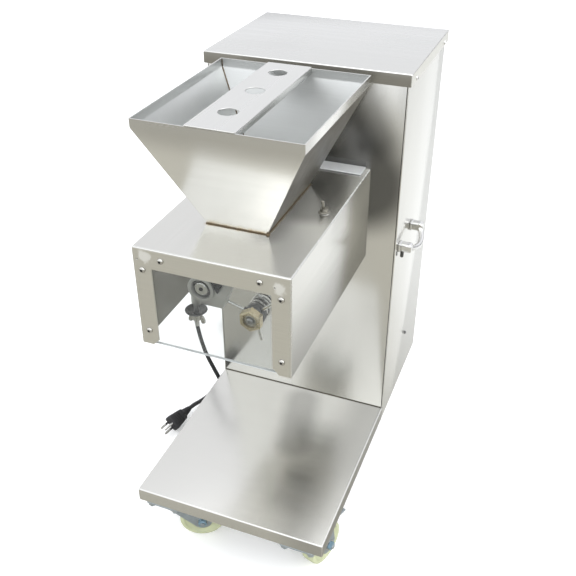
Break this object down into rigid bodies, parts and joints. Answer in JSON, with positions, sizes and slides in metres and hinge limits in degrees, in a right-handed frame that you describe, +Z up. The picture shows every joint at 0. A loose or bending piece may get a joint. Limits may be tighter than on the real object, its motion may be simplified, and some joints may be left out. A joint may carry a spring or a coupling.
{
  "type": "two-shaft meat cutting machine",
  "caption": "Free-standing stainless cutting machine on castors: hopper over a cantilevered blade box with paired cutter shafts, belt-driven from a tall cabinet.",
  "frame": {"origin": "on the floor, under the middle of the machine without its cord", "axes": "+Z up, -Y towards the operator, +X to the operator's right"},
  "size_m": [0.4919, 0.6894, 0.7396],
  "materials": {
    "stainless_sheet": "satin brushed stainless sheet",
    "bright_steel": "bright turned or plated steel",
    "cast_aluminium": "sand-cast, machined faces",
    "dark_steel": "blackened spring steel",
    "brass": "plain machined brass",
    "clear_acrylic": "clear acrylic sheet",
    "iron": "machined cast iron",
    "grey_paint": "satin machinery paint",
    "black_rubber": "matt black",
    "zinc_plate": "bright zinc plating",
    "cream_nylon": "cream moulded nylon"
  },
  "bodies": {
    "root": {"base_tray": "stainless_sheet", "blade_box": "stainless_sheet", "cabinet_front_panel": "stainless_sheet", "cabinet_left_panel": "stainless_sheet", "cabinet_lid": "stainless_sheet", "cabinet_rear_panel": "stainless_sheet", "cabinet_right_panel": "stainless_sheet", "caster_plate_front_left": "zinc_plate", "caster_plate_front_right": "zinc_plate", "caster_plate_rear_left": "zinc_plate", "caster_plate_rear_right": "zinc_plate", "comb_lower": "bright_steel", "comb_upper": "bright_steel", "cord_coil": "black_rubber", "cord_gland": "black_rubber", "cord_lead": "black_rubber", "cord_tail": "black_rubber", "cup_washer": "dark_steel", "drive_belt": "black_rubber", "front_bearing_bracket": "cast_aluminium", "front_guard": "clear_acrylic", "guard_screw_1": "bright_steel", "guard_screw_2": "bright_steel", "guard_screw_3": "bright_steel", "guard_screw_4": "bright_steel", "guard_screw_5": "bright_steel", "guard_screw_6": "bright_steel", "hopper": "stainless_sheet", "hopper_guard_strip": "stainless_sheet", "motor": "grey_paint", "power_plug": "black_rubber", "rear_bearing_bracket": "cast_aluminium", "rear_strip": "stainless_sheet", "side_handle_left": "bright_steel", "side_handle_right": "bright_steel", "spindle_bearing_housing": "iron", "switch_body": "bright_steel", "tension_rod": "bright_steel", "tension_spring": "dark_steel"},
    "lower_line": {"drive_spindle": "bright_steel", "driven_pulley": "iron", "gear_lower": "iron", "cutter_shaft_lower": "bright_steel"},
    "upper_line": {"gear_upper": "iron", "cutter_shaft_upper": "bright_steel"},
    "motor_line": {"motor_pulley": "iron"},
    "switch": {"switch_lever": "bright_steel"},
    "clamp_nut": {"wing_nut": "bright_steel"},
    "spoke_nut": {"brass_nut": "brass", "spoke_hub": "dark_steel"},
    "fork_front_left": {"caster_fork_front_left": "zinc_plate"},
    "wheel_front_left": {"caster_wheel_front_left": "cream_nylon"},
    "pedal_front_left": {"brake_pedal_front_left": "zinc_plate"},
    "fork_front_right": {"caster_fork_front_right": "zinc_plate"},
    "wheel_front_right": {"caster_wheel_front_right": "cream_nylon"},
    "pedal_front_right": {"brake_pedal_front_right": "zinc_plate"},
    "fork_rear_left": {"caster_fork_rear_left": "zinc_plate"},
    "wheel_rear_left": {"caster_wheel_rear_left": "cream_nylon"},
    "fork_rear_right": {"caster_fork_rear_right": "zinc_plate"},
    "wheel_rear_right": {"caster_wheel_rear_right": "cream_nylon"}
  },
  "joints": [
    {"name": "cutter_lower_spin", "type": "hinge", "parent": "root", "child": "lower_line", "pos_m": [-0.0257, 0, 0.526], "axis": [0, 1, 0], "continuous": true},
    {"name": "cutter_upper_spin", "type": "hinge", "parent": "root", "child": "upper_line", "pos_m": [0.0094, 0, 0.5538], "axis": [0, 1, 0], "continuous": true},
    {"name": "motor_spin", "type": "hinge", "parent": "root", "child": "motor_line", "pos_m": [-0.0257, 0.103, 0.214], "axis": [0, 1, 0], "continuous": true},
    {"name": "switch_throw", "type": "hinge", "parent": "root", "child": "switch", "pos_m": [0.0885, -0.112, 0.586], "axis": [0, 1, 0], "range_deg": [0, 20]},
    {"name": "wing_nut_turn", "type": "hinge", "parent": "root", "child": "clamp_nut", "pos_m": [-0.0365, -0.2565, 0.478], "axis": [0, 0, 1], "continuous": true},
    {"name": "spoke_nut_turn", "type": "hinge", "parent": "root", "child": "spoke_nut", "pos_m": [0.044, -0.2537, 0.4968], "axis": [0, 1, 0], "continuous": true},
    {"name": "swivel_front_left", "type": "hinge", "parent": "root", "child": "fork_front_left", "pos_m": [-0.1142, -0.2365, 0.1], "axis": [0, 0, 1], "continuous": true},
    {"name": "roll_front_left", "type": "hinge", "parent": "fork_front_left", "child": "wheel_front_left", "pos_m": [-0.07729, -0.21866, 0.0375], "axis": [-0.4352, 0.9003, 0], "continuous": true},
    {"name": "brake_front_left", "type": "hinge", "parent": "fork_front_left", "child": "pedal_front_left", "pos_m": [-0.08719, -0.22344, 0.0835], "axis": [-0.4352, 0.9003, 0], "range_deg": [0, 5]},
    {"name": "swivel_front_right", "type": "hinge", "parent": "root", "child": "fork_front_right", "pos_m": [0.1142, -0.2365, 0.1], "axis": [0, 0, 1], "continuous": true},
    {"name": "roll_front_right", "type": "hinge", "parent": "fork_front_right", "child": "wheel_front_right", "pos_m": [0.1255, -0.19709, 0.0375], "axis": [-0.9613, 0.2756, 0], "continuous": true},
    {"name": "brake_front_right", "type": "hinge", "parent": "fork_front_right", "child": "pedal_front_right", "pos_m": [0.12247, -0.20766, 0.0835], "axis": [-0.9613, 0.2756, 0], "range_deg": [0, 5]},
    {"name": "swivel_rear_left", "type": "hinge", "parent": "root", "child": "fork_rear_left", "pos_m": [-0.1142, 0.2385, 0.1], "axis": [0, 0, 1], "continuous": true},
    {"name": "roll_rear_left", "type": "hinge", "parent": "fork_rear_left", "child": "wheel_rear_left", "pos_m": [-0.15415, 0.22928, 0.0375], "axis": [0.225, -0.9744, 0], "continuous": true},
    {"name": "swivel_rear_right", "type": "hinge", "parent": "root", "child": "fork_rear_right", "pos_m": [0.1142, 0.2385, 0.1], "axis": [0, 0, 1], "continuous": true},
    {"name": "roll_rear_right", "type": "hinge", "parent": "fork_rear_right", "child": "wheel_rear_right", "pos_m": [0.0732, 0.2385, 0.0375], "axis": [0, -1, 0], "continuous": true}
  ],
  "couplings": [
    {"joint": "cutter_upper_spin", "follows": "cutter_lower_spin", "ratio": -1},
    {"joint": "motor_spin", "follows": "cutter_lower_spin", "ratio": 2}
  ]
}
